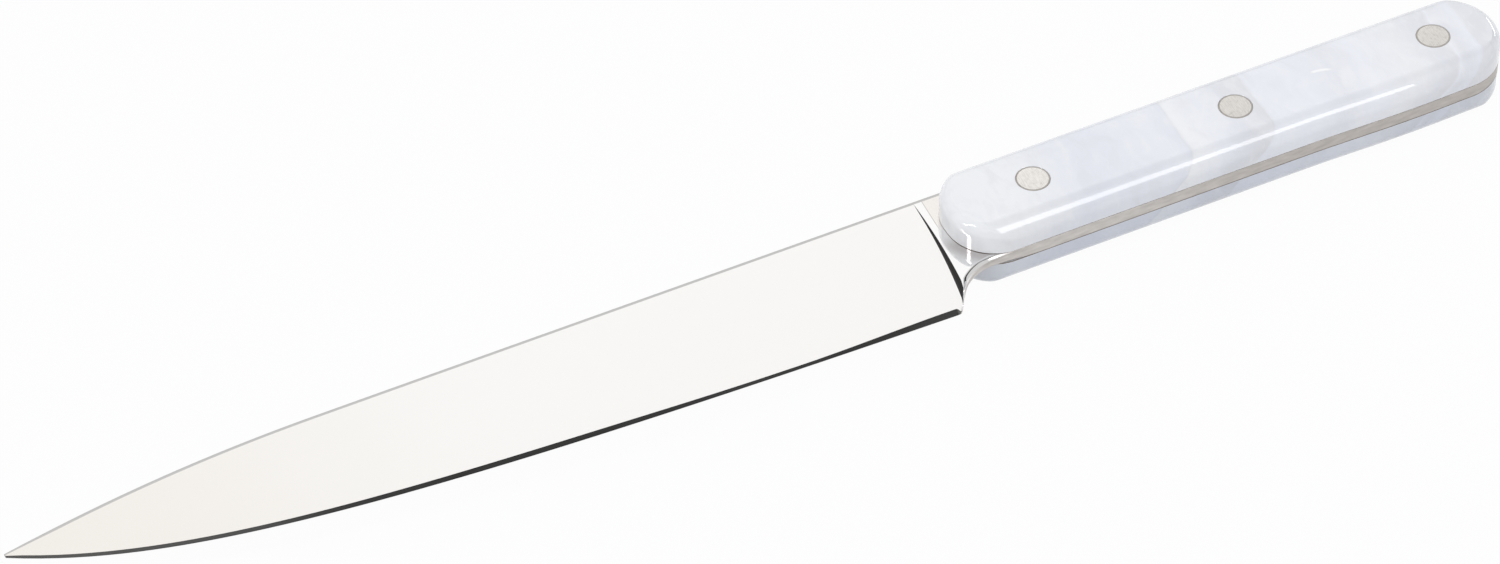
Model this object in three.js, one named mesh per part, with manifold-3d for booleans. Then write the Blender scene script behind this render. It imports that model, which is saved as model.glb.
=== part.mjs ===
// Fillet knife with a full tang, pearl scales and three compression rivets.
// Millimetres. The knife lies on its side: +X from point to butt, +Y from edge to spine, +Z up.
import * as THREE from "three";
import { mergeVertices } from "three/addons/utils/BufferGeometryUtils.js";
import Module from "manifold-3d";

// Handle
const HANDLE_LENGTH = 114.8;
const HANDLE_WIDTH = 19.5;
const SCALE_THICKNESS = 5.8;
const FRONT_FLAT = 1.5; // flat middle of the scales' round front end, seen from above
const SIDE_ROUNDING = 3.7; // radius of the scales' long outer edges
const END_ROUNDING = 2.6; // radius of their outer edges round both ends
const END_LAP = 0.16; // depth of that rounding lost where the faces are lapped flat
const PALM_SWELL = 0.4; // how far the belly bulges near the butt
const PALM_SWELL_LENGTH = 44;
const PALM_SWELL_SETBACK = 23; // middle of the swell, measured from the butt

// Steel
const STOCK = 2.5; // thickness of the collar and the tang
const BLADE_LENGTH = 180; // point to handle
const SPINE_CURVE = 60; // length of the spine that bends down to the point
const POINT_DROP = 5.9; // point below the straight spine
const POINT_WIDTH = 0.8; // the point is slightly blunt
const POINT_ANGLE = THREE.MathUtils.degToRad(30.5); // rise of the edge at the point
const POINT_REACH = 30; // how far the edge holds that rise
const HEEL_DROP = 8.7; // heel below the handle's belly
const HEEL_SETBACK = 6.7; // heel corner ahead of the handle
const HEEL_CORNER = 1;
const HEEL_LEAN = THREE.MathUtils.degToRad(34); // rear of the heel, from upright
const NECK_RADIUS = 10.5; // hollow between heel and handle
const EDGE_RISE = THREE.MathUtils.degToRad(1.2); // rise of the edge at the heel
const EDGE_REACH = 106; // how far the edge holds that rise
const EDGE_THICKNESS = 0.08;
const BEVEL_WIDTH = 0.9; // sharpened band along the edge
const BEVEL_ANGLE = THREE.MathUtils.degToRad(15);
const PLUNGE_SETBACK = 1.85; // end of the flat grind ahead of the handle, at the spine
const PLUNGE_SWEEP = 150; // radius of the plunge line, seen from above
const PLUNGE_FILLET = 0.8;

// Rivets
const RIVET_HEAD = 6.4;
const RIVET_HEAD_DEPTH = 2;
const RIVET_SHANK = 4.4;
const RIVET_STUD = 2.6;
const RIVET_FIT = 0.15; // clearance on each radius
const RIVET_END_GAP = 0.3; // left at the ends of stud and sleeve
const FRONT_RIVET_SETBACK = 17.5; // from the handle's front end
const REAR_RIVET_SETBACK = 13.1; // from the butt

// Fineness of the faceting
const CORNER_STEPS = 10;
const BUTT_STEPS = 24;
const BELLY_STEPS = 16;
const ROUNDING_STEPS = 6;
const BLADE_STEPS = 32;
const FLANK_STEPS = 4;
const FILLET_STEPS = 6;
const CURVE_STEPS = 40;
const RIVET_STEPS = 32;
const HALVINGS = 40; // of the search for a curve's height at a place
const PAST = 2; // how far a cutting body stands past what it cuts

// Colours
const STEEL = { color: 0xe8e6e2, roughness: 0.3, metalness: 1 };
const PEARL = { color: 0xe2e5ee, roughness: 0.15, metalness: 0 };
const NICKEL = { color: 0xdcd6cc, roughness: 0.35, metalness: 1 };

// Places that follow from the sizes, measured from the middle of the handle's front end
const SPINE_Y = HANDLE_WIDTH / 2;
const BELLY_Y = -HANDLE_WIDTH / 2;
const HEEL_Y = BELLY_Y - HEEL_DROP;
const FRONT_CORNER = (HANDLE_WIDTH - FRONT_FLAT) / 2;
const TANG_FACE = STOCK / 2;
const SCALE_FACE = TANG_FACE + SCALE_THICKNESS;
const EDGE_HALF = EDGE_THICKNESS / 2;
const FLANK_RISE = STOCK / 2 - EDGE_HALF - BEVEL_WIDTH * Math.tan(BEVEL_ANGLE);
const FLANK_SLOPE = FLANK_RISE / (SPINE_Y - HEEL_Y - BEVEL_WIDTH); // reaches full thickness at the collar
const RIVET_SEAT = SCALE_FACE - RIVET_HEAD_DEPTH;
const FRONT_RIVET_X = FRONT_RIVET_SETBACK;
const REAR_RIVET_X = HANDLE_LENGTH - REAR_RIVET_SETBACK;
const RIVETS = {
  front: FRONT_RIVET_X,
  middle: (FRONT_RIVET_X + REAR_RIVET_X) / 2,
  rear: REAR_RIVET_X,
};

const wasm = await Module();
wasm.setup();

// A closed geometry as a solid that can be cut.
function solidOf(geometry) {
  const bare = geometry.clone();
  bare.deleteAttribute("normal");
  bare.deleteAttribute("uv");
  const merged = mergeVertices(bare);
  const vertProperties = merged.attributes.position.array;
  const triVerts = new Uint32Array(merged.index.array);
  return new wasm.Manifold(new wasm.Mesh({ numProp: 3, vertProperties, triVerts }));
}

function geometryOf(solid) {
  const { vertProperties, triVerts } = solid.getMesh();
  const geometry = new THREE.BufferGeometry();
  geometry.setAttribute("position", new THREE.BufferAttribute(vertProperties, 3));
  geometry.setIndex(new THREE.BufferAttribute(triVerts, 1));
  geometry.computeVertexNormals();
  return geometry;
}

// A closed skin through rings of equal count, which run anticlockwise seen from the last ring.
// flatten gives a ring's points in its own plane, for the two end caps.
function loft(rings, flatten) {
  const count = rings[0].length;
  const index = [];
  for (let ring = 0; ring + 1 < rings.length; ring++) {
    for (let i = 0; i < count; i++) {
      const a = ring * count + i;
      const b = ring * count + ((i + 1) % count);
      index.push(a, b, b + count, a, b + count, a + count);
    }
  }
  const end = (rings.length - 1) * count;
  for (const [a, b, c] of THREE.ShapeUtils.triangulateShape(rings[0].map(flatten), [])) {
    index.push(c, b, a);
  }
  for (const [a, b, c] of THREE.ShapeUtils.triangulateShape(rings.at(-1).map(flatten), [])) {
    index.push(end + a, end + b, end + c);
  }
  const geometry = new THREE.BufferGeometry().setFromPoints(rings.flat());
  geometry.setIndex(index);
  return geometry;
}

// A round piece on the Z axis from a profile of [radius, height] pairs.
function turned(profile) {
  const points = profile.map(([radius, height]) => new THREE.Vector2(radius, height));
  return new THREE.LatheGeometry(points, RIVET_STEPS).rotateX(Math.PI / 2);
}

function arcPoints(x, y, radius, from, to, steps) {
  const curve = new THREE.EllipseCurve(x, y, radius, radius, from, to, to < from);
  return curve.getPoints(steps);
}

// Outline of the handle

// The belly's bulge near the butt moves the lower half of the outline down.
function swollen(point) {
  const middle = HANDLE_LENGTH - PALM_SWELL_SETBACK;
  const along = THREE.MathUtils.clamp((point.x - middle) / (PALM_SWELL_LENGTH / 2), -1, 1);
  const below = Math.max(0, point.y / BELLY_Y);
  const bulge = PALM_SWELL * Math.cos((along * Math.PI) / 2) ** 2;
  return new THREE.Vector2(point.x, point.y - bulge * below);
}

// The belly from x = start, round the butt and up to the back, drawn in by an inset.
function gripSides(start, inset) {
  const half = HANDLE_WIDTH / 2 - inset;
  const buttX = HANDLE_LENGTH - HANDLE_WIDTH / 2;
  const belly = new THREE.LineCurve(new THREE.Vector2(start, -half), new THREE.Vector2(buttX, -half));
  const butt = arcPoints(buttX, 0, half, -Math.PI / 2, Math.PI / 2, BUTT_STEPS);
  return [...belly.getPoints(BELLY_STEPS), ...butt.slice(1)];
}

// A scale's outline, anticlockwise from the lower front corner.
// It is drawn in evenly, then cut straight along its sides.
function scaleOutline(endInset, sideInset) {
  const radius = FRONT_CORNER - endInset;
  const y = FRONT_FLAT / 2;
  const upper = arcPoints(FRONT_CORNER, y, radius, Math.PI / 2, Math.PI, CORNER_STEPS);
  const lower = arcPoints(FRONT_CORNER, -y, radius, Math.PI, 1.5 * Math.PI, CORNER_STEPS);
  const side = HANDLE_WIDTH / 2 - sideInset;
  const cut = (p) => new THREE.Vector2(p.x, THREE.MathUtils.clamp(p.y, -side, side));
  return [...lower.slice(0, -1), ...gripSides(FRONT_CORNER, endInset), ...upper].map(cut).map(swollen);
}

// Blade

const pointTop = new THREE.Vector2(-BLADE_LENGTH, SPINE_Y - POINT_DROP + POINT_WIDTH / 2);
const pointBottom = new THREE.Vector2(-BLADE_LENGTH, SPINE_Y - POINT_DROP - POINT_WIDTH / 2);
const spineBend = new THREE.Vector2(SPINE_CURVE - BLADE_LENGTH, SPINE_Y);
const heelCorner = new THREE.Vector2(-HEEL_SETBACK, HEEL_Y);
const heel = new THREE.Vector2(-HEEL_SETBACK - HEEL_CORNER, HEEL_Y);

// The spine's bend, from the straight stretch to the point.
const spineCurve = new THREE.QuadraticBezierCurve(
  spineBend,
  new THREE.Vector2(SPINE_CURVE / 2 - BLADE_LENGTH, SPINE_Y),
  pointTop,
);

// The cutting edge, from the point to the heel.
const edgeCurve = new THREE.CubicBezierCurve(
  pointBottom,
  new THREE.Vector2(
    pointBottom.x + POINT_REACH * Math.cos(POINT_ANGLE),
    pointBottom.y - POINT_REACH * Math.sin(POINT_ANGLE),
  ),
  new THREE.Vector2(
    heel.x - EDGE_REACH * Math.cos(EDGE_RISE),
    heel.y + EDGE_REACH * Math.sin(EDGE_RISE),
  ),
  heel,
);

// Height of a curve at a place along the knife, level past the curve's ends.
function heightAt(curve, x) {
  const rising = curve.getPoint(1).x > curve.getPoint(0).x;
  let low = 0;
  let high = 1;
  for (let halving = 0; halving < HALVINGS; halving++) {
    const middle = (low + high) / 2;
    if (curve.getPoint(middle).x < x === rising) {
      low = middle;
    } else {
      high = middle;
    }
  }
  return curve.getPoint((low + high) / 2).y;
}

// The hollow of the neck touches the rear of the heel and the belly.
function neckPoints() {
  const lean = new THREE.Vector2(Math.sin(HEEL_LEAN), Math.cos(HEEL_LEAN));
  const crossing = -HEEL_SETBACK + HEEL_DROP * Math.tan(HEEL_LEAN);
  const turn = Math.PI / 2 - HEEL_LEAN;
  const centreX = crossing + NECK_RADIUS * Math.tan(turn / 2);
  const centreY = BELLY_Y - NECK_RADIUS;
  const start = heelCorner.clone().addScaledVector(lean, HEEL_CORNER);
  const arc = arcPoints(centreX, centreY, NECK_RADIUS, Math.PI / 2 + turn, Math.PI / 2, CORNER_STEPS);
  return { start, arc };
}

// The flat blank: blade, collar and tang in one outline.
function blankSolid() {
  const { start, arc } = neckPoints();
  const outline = new THREE.Shape();
  outline.moveTo(pointBottom.x, pointBottom.y);
  outline.bezierCurveTo(...edgeCurve.v1, ...edgeCurve.v2, ...edgeCurve.v3);
  outline.quadraticCurveTo(...heelCorner, ...start);
  const grip = gripSides(arc.at(-1).x, 0).map(swollen);
  for (const point of [...arc, ...grip.slice(1), spineBend]) {
    outline.lineTo(point.x, point.y);
  }
  outline.quadraticCurveTo(...spineCurve.v1, ...spineCurve.v2);
  const blank = new THREE.ExtrudeGeometry(outline, {
    depth: STOCK,
    bevelEnabled: false,
    curveSegments: CURVE_STEPS,
  });
  return solidOf(blank.translate(0, 0, -STOCK / 2));
}

// Place of the plunge line at a height: an arc that leans forward below the spine.
function plungeX(y) {
  const below = SPINE_Y - y;
  return -PLUNGE_SETBACK - (PLUNGE_SWEEP - Math.sqrt(PLUNGE_SWEEP ** 2 - below ** 2));
}

// Section of what is ground away above the flank, at a distance ahead of the plunge line.
function grindSection(ahead) {
  const x = -PLUNGE_SETBACK - ahead;
  const edgeY = heightAt(edgeCurve, plungeX(heightAt(edgeCurve, x)) - ahead);
  const spineY = heightAt(spineCurve, x);
  const bevel = Math.min(BEVEL_WIDTH, (spineY - edgeY) / 2);
  const shoulderHalf = EDGE_HALF + bevel * Math.tan(BEVEL_ANGLE);
  const spineHalf = shoulderHalf + FLANK_SLOPE * (spineY - edgeY - bevel);
  const inFillet = Math.max(0, PLUNGE_FILLET - ahead);
  const rise = PLUNGE_FILLET - Math.sqrt(PLUNGE_FILLET ** 2 - inFillet ** 2);
  const top = STOCK / 2 + PLUNGE_FILLET + PAST;
  const profile = [
    [edgeY - PAST, EDGE_HALF],
    [edgeY, EDGE_HALF],
  ];
  for (let step = 0; step <= FLANK_STEPS; step++) {
    const across = step / FLANK_STEPS;
    const y = THREE.MathUtils.lerp(edgeY + bevel, spineY, across);
    profile.push([y, THREE.MathUtils.lerp(shoulderHalf, spineHalf, across)]);
  }
  profile.push([spineY + PAST, spineHalf]);
  const under = profile.map(([y, z]) => new THREE.Vector3(plungeX(y) - ahead, y, z + rise));
  const over = [under.at(-1), under[0]].map((p) => new THREE.Vector3(p.x, p.y, top));
  return [...under, ...over];
}

function mirrored(ring) {
  return ring.map((p) => new THREE.Vector3(p.x, p.y, -p.z)).reverse();
}

function bladeGeometry() {
  const reach = BLADE_LENGTH - PLUNGE_SETBACK;
  const stations = [reach + PAST];
  for (let step = 0; step < BLADE_STEPS; step++) {
    stations.push(THREE.MathUtils.lerp(reach, PLUNGE_FILLET, step / BLADE_STEPS));
  }
  for (let step = 0; step <= FILLET_STEPS; step++) {
    const turn = ((step / FILLET_STEPS) * Math.PI) / 2;
    stations.push(PLUNGE_FILLET * (1 - Math.sin(turn)));
  }
  const sections = stations.map(grindSection);
  const flatten = (p) => new THREE.Vector2(p.y, p.z);
  let blade = blankSolid();
  blade = blade.subtract(solidOf(loft(sections, flatten)));
  blade = blade.subtract(solidOf(loft(sections.map(mirrored), flatten)));
  for (const x of Object.values(RIVETS)) {
    blade = blade.subtract(solidOf(shankHole().translate(x, 0, 0)));
  }
  return geometryOf(blade);
}

// Scales

// Room for a rivet's shank, right through the handle.
function shankHole() {
  const radius = RIVET_SHANK / 2 + RIVET_FIT;
  const end = SCALE_FACE + PAST;
  return turned([[0, -end], [radius, -end], [radius, end], [0, end]]);
}

// Room for a rivet's head, down to its seat.
function headHole() {
  const radius = RIVET_HEAD / 2 + RIVET_FIT;
  const end = SCALE_FACE + PAST;
  return turned([[0, RIVET_SEAT], [radius, RIVET_SEAT], [radius, end], [0, end]]);
}

// How far an edge of a radius is drawn in at a depth below the face.
function drawnIn(radius, depth) {
  const left = Math.max(0, radius - depth);
  return radius - Math.sqrt(radius ** 2 - left ** 2);
}

function scaleGeometry() {
  const ringAt = (endInset, sideInset, z) =>
    scaleOutline(endInset, sideInset).map((p) => new THREE.Vector3(p.x, p.y, z));
  const rings = [ringAt(0, 0, TANG_FACE)];
  for (let step = 0; step <= ROUNDING_STEPS; step++) {
    const turn = ((step / ROUNDING_STEPS) * Math.PI) / 2;
    const depth = SIDE_ROUNDING * (1 - Math.sin(turn));
    const endInset = drawnIn(END_ROUNDING, depth + END_LAP);
    rings.push(ringAt(endInset, drawnIn(SIDE_ROUNDING, depth), SCALE_FACE - depth));
  }
  let scale = solidOf(loft(rings, (p) => new THREE.Vector2(p.x, p.y)));
  for (const x of Object.values(RIVETS)) {
    scale = scale.subtract(solidOf(shankHole().translate(x, 0, 0)));
    scale = scale.subtract(solidOf(headHole().translate(x, 0, 0)));
  }
  return geometryOf(scale);
}

// Rivets

// The sleeve's head lies in the lower scale, and its tube passes the tang.
function sleeveGeometry() {
  const bore = RIVET_STUD / 2 + RIVET_FIT;
  return turned([
    [0, -SCALE_FACE],
    [RIVET_HEAD / 2, -SCALE_FACE],
    [RIVET_HEAD / 2, -RIVET_SEAT],
    [RIVET_SHANK / 2, -RIVET_SEAT],
    [RIVET_SHANK / 2, RIVET_SEAT - RIVET_END_GAP],
    [bore, RIVET_SEAT - RIVET_END_GAP],
    [bore, -RIVET_SEAT],
    [0, -RIVET_SEAT],
  ]);
}

// The stud's head lies in the upper scale, and its pin fills the sleeve.
function studGeometry() {
  return turned([
    [0, RIVET_END_GAP - RIVET_SEAT],
    [RIVET_STUD / 2, RIVET_END_GAP - RIVET_SEAT],
    [RIVET_STUD / 2, RIVET_SEAT],
    [RIVET_HEAD / 2, RIVET_SEAT],
    [RIVET_HEAD / 2, SCALE_FACE],
    [0, SCALE_FACE],
  ]);
}

// Assembly

function piece(name, geometry, finish) {
  const mesh = new THREE.Mesh(geometry, new THREE.MeshStandardMaterial(finish));
  mesh.name = name;
  return mesh;
}

const knife = new THREE.Group();
knife.position.set((BLADE_LENGTH - HANDLE_LENGTH) / 2, HEEL_DROP / 2, SCALE_FACE);
knife.add(piece("blade", bladeGeometry(), STEEL));
knife.add(piece("upper_scale", scaleGeometry(), PEARL));

// The lower scale is the upper one turned over.
const lowerScale = piece("lower_scale", scaleGeometry(), PEARL);
lowerScale.scale.z = -1;
knife.add(lowerScale);

for (const [place, x] of Object.entries(RIVETS)) {
  const rivet = new THREE.Group();
  rivet.position.x = x;
  rivet.add(piece(`${place}_rivet_sleeve`, sleeveGeometry(), NICKEL));
  rivet.add(piece(`${place}_rivet_stud`, studGeometry(), NICKEL));
  knife.add(rivet);
}

const part = new THREE.Group();
part.add(knife);

export default part;
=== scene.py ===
"""Fillet knife with a full tang and riveted pearl scales: its looks, built around the solid model."""

import math

import bmesh
import bpy
import numpy as np
from bpy.props import FloatProperty, FloatVectorProperty, PointerProperty
from mathutils import Matrix, Vector


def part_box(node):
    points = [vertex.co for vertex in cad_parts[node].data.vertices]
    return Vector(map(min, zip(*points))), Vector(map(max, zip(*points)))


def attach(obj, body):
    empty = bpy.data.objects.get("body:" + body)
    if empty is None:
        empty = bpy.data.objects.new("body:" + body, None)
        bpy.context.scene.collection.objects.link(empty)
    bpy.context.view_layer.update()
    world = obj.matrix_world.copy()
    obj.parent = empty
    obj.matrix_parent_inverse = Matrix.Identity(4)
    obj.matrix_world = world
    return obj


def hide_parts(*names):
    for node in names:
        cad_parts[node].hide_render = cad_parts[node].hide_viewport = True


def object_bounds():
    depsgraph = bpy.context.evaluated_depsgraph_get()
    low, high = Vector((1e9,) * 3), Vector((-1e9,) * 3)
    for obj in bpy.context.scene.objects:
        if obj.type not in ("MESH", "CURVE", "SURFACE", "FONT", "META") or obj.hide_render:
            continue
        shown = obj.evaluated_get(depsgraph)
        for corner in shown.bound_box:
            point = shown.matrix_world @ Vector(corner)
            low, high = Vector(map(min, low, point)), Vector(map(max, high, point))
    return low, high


bl_info = {
    "name": "Fillet Knife",
    "version": (1, 0, 0),
    "blender": (4, 5, 0),
    "location": "3D View > Sidebar > Knife",
    "description": "Builds a fillet knife with riveted pearl scales around its solid model",
    "category": "Object",
}

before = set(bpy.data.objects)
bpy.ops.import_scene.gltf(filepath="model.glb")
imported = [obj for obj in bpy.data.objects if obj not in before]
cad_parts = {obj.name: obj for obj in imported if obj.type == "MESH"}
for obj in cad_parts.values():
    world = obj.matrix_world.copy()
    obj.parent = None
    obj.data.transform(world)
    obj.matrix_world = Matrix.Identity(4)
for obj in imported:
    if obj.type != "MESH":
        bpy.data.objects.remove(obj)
CAD_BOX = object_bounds()

MM = 0.001
BODY = "root"
PLACES = ("front", "middle", "rear")

# Places that the solid model gives, measured from the middle of the handle's front end
BLADE_LOW, BLADE_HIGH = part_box("blade")
SCALE_LOW, SCALE_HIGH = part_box("upper_scale")
STUDS = {place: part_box(f"{place}_rivet_stud") for place in PLACES}
SLEEVES = {place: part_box(f"{place}_rivet_sleeve") for place in PLACES}
STUD_LOW, STUD_HIGH = STUDS["front"]
ORIGIN = Vector((SCALE_LOW.x, (STUD_LOW.y + STUD_HIGH.y) / 2, (BLADE_LOW.z + BLADE_HIGH.z) / 2))
HANDLE_LENGTH = SCALE_HIGH.x - SCALE_LOW.x
HALF_WIDTH = SCALE_HIGH.y - ORIGIN.y
BUTT_X = HANDLE_LENGTH - HALF_WIDTH  # where the round butt starts
TANG_FACE = BLADE_HIGH.z - ORIGIN.z
SCALE_FACE = SCALE_HIGH.z - ORIGIN.z
POINT_X = BLADE_LOW.x - ORIGIN.x
HEEL_Y = BLADE_LOW.y - ORIGIN.y
HEAD_RADIUS = (STUD_HIGH.x - STUD_LOW.x) / 2
RIVET_X = {place: (low.x + high.x) / 2 - ORIGIN.x for place, (low, high) in STUDS.items()}

# Fineness of the meshes
CURVE_STEPS = 400
BLADE_STEPS = 120
BLADE_CROWDING = 1.8  # above 1 the blade's sections crowd towards the plunge line
GROOVE_STEPS = 8
COLLAR_STEPS = 28
TANG_STEPS = 40
BUTT_STEPS = 48
FLANK_STEPS = 22
BEVEL_STEPS = 3
ROUNDING_STEPS = 6
CORNER_STEPS = 40
SIDE_STEPS = 40
SCALE_ROUNDING_STEPS = 18
TURN_STEPS = 96
SETTLE_ROUNDS = 40  # of the search for where a section meets the outline
MERGE = 0.0001 * MM
PROBE = 0.01 * MM  # step to either side of a place where a slope is measured
SHARP_ANGLE = math.radians(35)

# Small forms that follow from others
BEVEL_LIMIT = 3  # the blade's width over the sharpened band's, at the least
NECK_SHARE = 0.8  # of the half thickness, in the neck's rounding
NECK_GROWTH = 0.6  # of that rounding, for each distance behind the plunge line
ROUNDING_FADE = 6  # roundings from the wall to where a section is back on its line
FACE_HOLD = 0.4 * MM  # even strip inside the border of a scale's face
SOFT_CORNER = 0.25  # of a scale's side cuts, for each depth of the cut


def length(name, description, millimetres):
    size = millimetres * MM
    return FloatProperty(name=name, description=description, default=size, unit="LENGTH", precision=5)


def angle(name, description, degrees):
    turn = math.radians(degrees)
    return FloatProperty(name=name, description=description, default=turn, subtype="ANGLE")


def share(name, description, value):
    return FloatProperty(name=name, description=description, default=value, min=0, subtype="FACTOR")


def brightness(name, description, value):
    return FloatProperty(name=name, description=description, default=value, min=0)


def colour(name, description, value):
    settings = {"size": 3, "min": 0, "max": 1, "subtype": "COLOR"}
    return FloatVectorProperty(name=name, description=description, default=value, **settings)


class BladeSettings(bpy.types.PropertyGroup):
    spine_curve: length("Spine curve", "Length of the spine that bends down to the point", 60)
    spine_ease_width: length("Spine ease width", "Width of the eased corners of the spine", 0.75)
    spine_ease_depth: length("Spine ease depth", "Depth of the eased corners of the spine", 0.25)
    point_drop: length("Point drop", "Point below the straight spine", 5.9)
    point_width: length("Point width", "Width of the slightly blunt point", 0.8)
    point_angle: angle("Point angle", "Rise of the edge at the point", 30.5)
    point_reach: length("Point reach", "How far the edge holds that rise", 30)
    heel_setback: length("Heel setback", "Heel corner ahead of the handle", 6.7)
    heel_corner: length("Heel corner", "Rounding of the heel's corner", 1)
    heel_lean: angle("Heel lean", "Lean of the rear of the heel, from upright", 34)
    neck_radius: length("Neck radius", "Hollow between heel and handle", 10.5)
    neck_rounding: length("Neck rounding", "Rounding of the neck's edges", 1.1)
    edge_rise: angle("Edge rise", "Rise of the edge at the heel", 1.2)
    edge_reach: length("Edge reach", "How far the edge holds that rise", 106)
    edge_thickness: length("Edge thickness", "Thickness of the cutting edge", 0.08)
    bevel_width: length("Bevel width", "Sharpened band along the edge", 0.9)
    bevel_angle: angle("Bevel angle", "Slope of the sharpened band", 15)
    heel_bevel_width: length("Heel bevel width", "Sharpened band at the heel", 1.3)
    waist_bevel_width: length("Waist bevel width", "Narrowest sharpened band, ahead of the heel", 0.55)
    waist_bevel_reach: length("Waist bevel reach", "Stretch where the band narrows to its waist", 75)
    tip_bevel_width: length("Tip bevel width", "Sharpened band at the point", 0.5)
    tip_bevel_reach: length("Tip bevel reach", "Stretch where the band narrows to the point", 95)
    heel_bevel_reach: length("Heel bevel reach", "Stretch where the band widens to the heel", 32)
    plunge_setback: length("Plunge setback", "End of the grind ahead of the handle, at the spine", 1.85)
    plunge_sweep: length("Plunge sweep", "Radius of the plunge line, seen from above", 150)
    plunge_fillet: length("Plunge fillet", "Largest radius of the groove along the plunge line", 1.25)
    plunge_taper: share("Plunge taper", "Radius of the groove for each depth of its step", 1.3)
    tang_edge_rounding: length("Tang edge rounding", "Broken corners of the tang's rim", 0.08)
    flank_colour: colour("Flank colour", "Satin ground steel", (0.9, 0.89, 0.875))
    tip_tint: colour("Tip tint", "Warm cast of the satin steel towards the point", (0.935, 0.91, 0.875))
    collar_tint: colour("Collar tint", "Warm cast of the collar beside the scales", (0.93, 0.9, 0.865))
    collar_colour: colour("Collar colour", "Polished steel", (0.885, 0.88, 0.875))
    # Honed steel, its colour painted far darker than steel as a painted reflection of the dark the edge
    # faces
    bevel_steel_and_reflection_colour: colour("Bevel colour", "Honed steel", (0.2, 0.198, 0.195))
    # Steel of the groove, painted near black as a painted reflection of the dark it faces
    groove_steel_and_reflection_colour: colour("Groove colour", "Coarse steel in the plunge groove", (0.05, 0.049, 0.048))
    spine_colour: colour("Spine colour", "Plain ground steel", (0.54, 0.535, 0.525))
    tang_colour: colour("Tang colour", "Sanded steel of the tang's rim", (0.56, 0.532, 0.51))


class HandleSettings(bpy.types.PropertyGroup):
    front_flat: length("Front flat", "Flat middle of the scales' round front end", 1.5)
    side_rounding: length("Side rounding", "Radius of the scales' long outer edges", 3.7)
    end_rounding: length("End rounding", "Radius of their outer edges round both ends", 2.6)
    end_lap: length("End lap", "Depth of that rounding lost where the faces are lapped flat", 0.16)
    palm_swell: length("Palm swell", "How far the belly bulges near the butt", 0.4)
    palm_swell_length: length("Palm swell length", "Length of the belly's bulge", 44)
    palm_swell_setback: length("Palm swell setback", "Middle of the bulge, measured from the butt", 23)
    joint_chamfer: length("Joint chamfer", "Broken edge of a scale along the tang", 0.12)
    hole_chamfer: length("Hole chamfer", "Broken edge of a rivet's hole", 0.05)
    hole_clearance: length("Hole clearance", "Gap between a rivet and its hole", 0.15)
    pearl_light: colour("Pearl light", "Whitest bands of the pearl", (0.875, 0.89, 0.92))
    pearl_cool: colour("Pearl cool", "Light lavender bands of the pearl", (0.81, 0.832, 0.9))
    pearl_deep: colour("Pearl deep", "Deep lavender bands of the pearl", (0.775, 0.8, 0.875))
    pearl_grey: colour("Pearl grey", "Grey bands of the pearl", (0.72, 0.732, 0.775))
    # Painted shade: the lower scale's pearl is darkened as if shaded by the floor beside it
    lower_shade_tint: colour("Lower tint", "Deeper cast of the lower scale's pearl", (0.8, 0.82, 0.855))
    joint_colour: colour("Joint colour", "Adhesive seen along the joints", (0.2, 0.165, 0.135))


class RivetSettings(bpy.types.PropertyGroup):
    head_depth: length("Head depth", "Thickness of a rivet's head", 2)
    shank_width: length("Shank width", "Outer width of the sleeve", 4.4)
    stud_width: length("Stud width", "Width of the stud", 2.6)
    rim_width: length("Rim width", "Width of a head's broken rim", 0.3)
    rim_depth: length("Rim depth", "Depth of a head's broken rim", 0.07)
    ring_gap: length("Ring gap", "Fine gap seen round a head", 0.03)
    metal_colour: colour("Metal colour", "Ground metal of the heads", (0.78, 0.755, 0.725))
    # Painted light: the front rivet's metal is brighter, as if lit more than the others
    front_lit_colour: colour("Front colour", "Brighter metal of the front rivet", (0.9, 0.875, 0.845))
    # Painted shade: the broken rims are darkened to stand in for the shade in the gap round each head
    rim_shade_colour: colour("Rim colour", "Dull metal of the broken rims", (0.4, 0.37, 0.34))


class StageSettings(bpy.types.PropertyGroup):
    camera_place: FloatVectorProperty(
        name="Camera place",
        description="Where the camera stands",
        default=(-0.34851, -0.66801, 0.75631),
        subtype="TRANSLATION",
    )
    camera_azimuth: angle("Camera azimuth", "Turn of the camera round the knife", -26.93)
    camera_elevation: angle("Camera elevation", "Height of the camera above the horizon", 44.57)
    camera_lens: FloatProperty(
        name="Camera lens",
        description="Focal length of the camera",
        default=143.66,
        subtype="DISTANCE_CAMERA",
    )
    floor_size: length("Floor size", "Width of the floor", 12000)
    floor_colour: colour("Floor colour", "Pale floor", (0.68, 0.69, 0.71))
    floor_whiteness: share("Floor whiteness", "How far the floor is seen as plain white", 0.96)
    softbox_level: brightness("Softbox level", "Brightness of the softbox", 3)
    strip_level: brightness("Strip level", "Brightness of the strip lamp", 12)
    overhead_level: brightness("Overhead level", "Brightness of the overhead lamp", 0.19)
    rim_level: brightness("Rim level", "Brightness of the lamp behind the butt", 8)
    room_level: brightness("Room level", "Brightness of the room's walls", 0.66)


# Meshes


def bezier(points, steps):
    """Points along a Bezier curve, from its control points."""
    along = np.linspace(0, 1, steps)[:, None]
    layers = [np.asarray(point, float)[None, :] for point in points]
    while len(layers) > 1:
        layers = [a + (b - a) * along for a, b in zip(layers, layers[1:])]
    return layers[0]


def quarter(steps):
    """Angles of a quarter turn, in even steps."""
    return [math.pi / 2 * step / steps for step in range(steps + 1)]


def moved(point, distance, turn):
    """A point moved by a distance along a direction."""
    return point[0] + distance * math.cos(turn), point[1] + distance * math.sin(turn)


def smooth(low, high, value):
    """Rises smoothly from 0 at low to 1 at high."""
    t = np.clip((value - low) / (high - low), 0, 1)
    return t * t * (3 - 2 * t)


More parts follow.
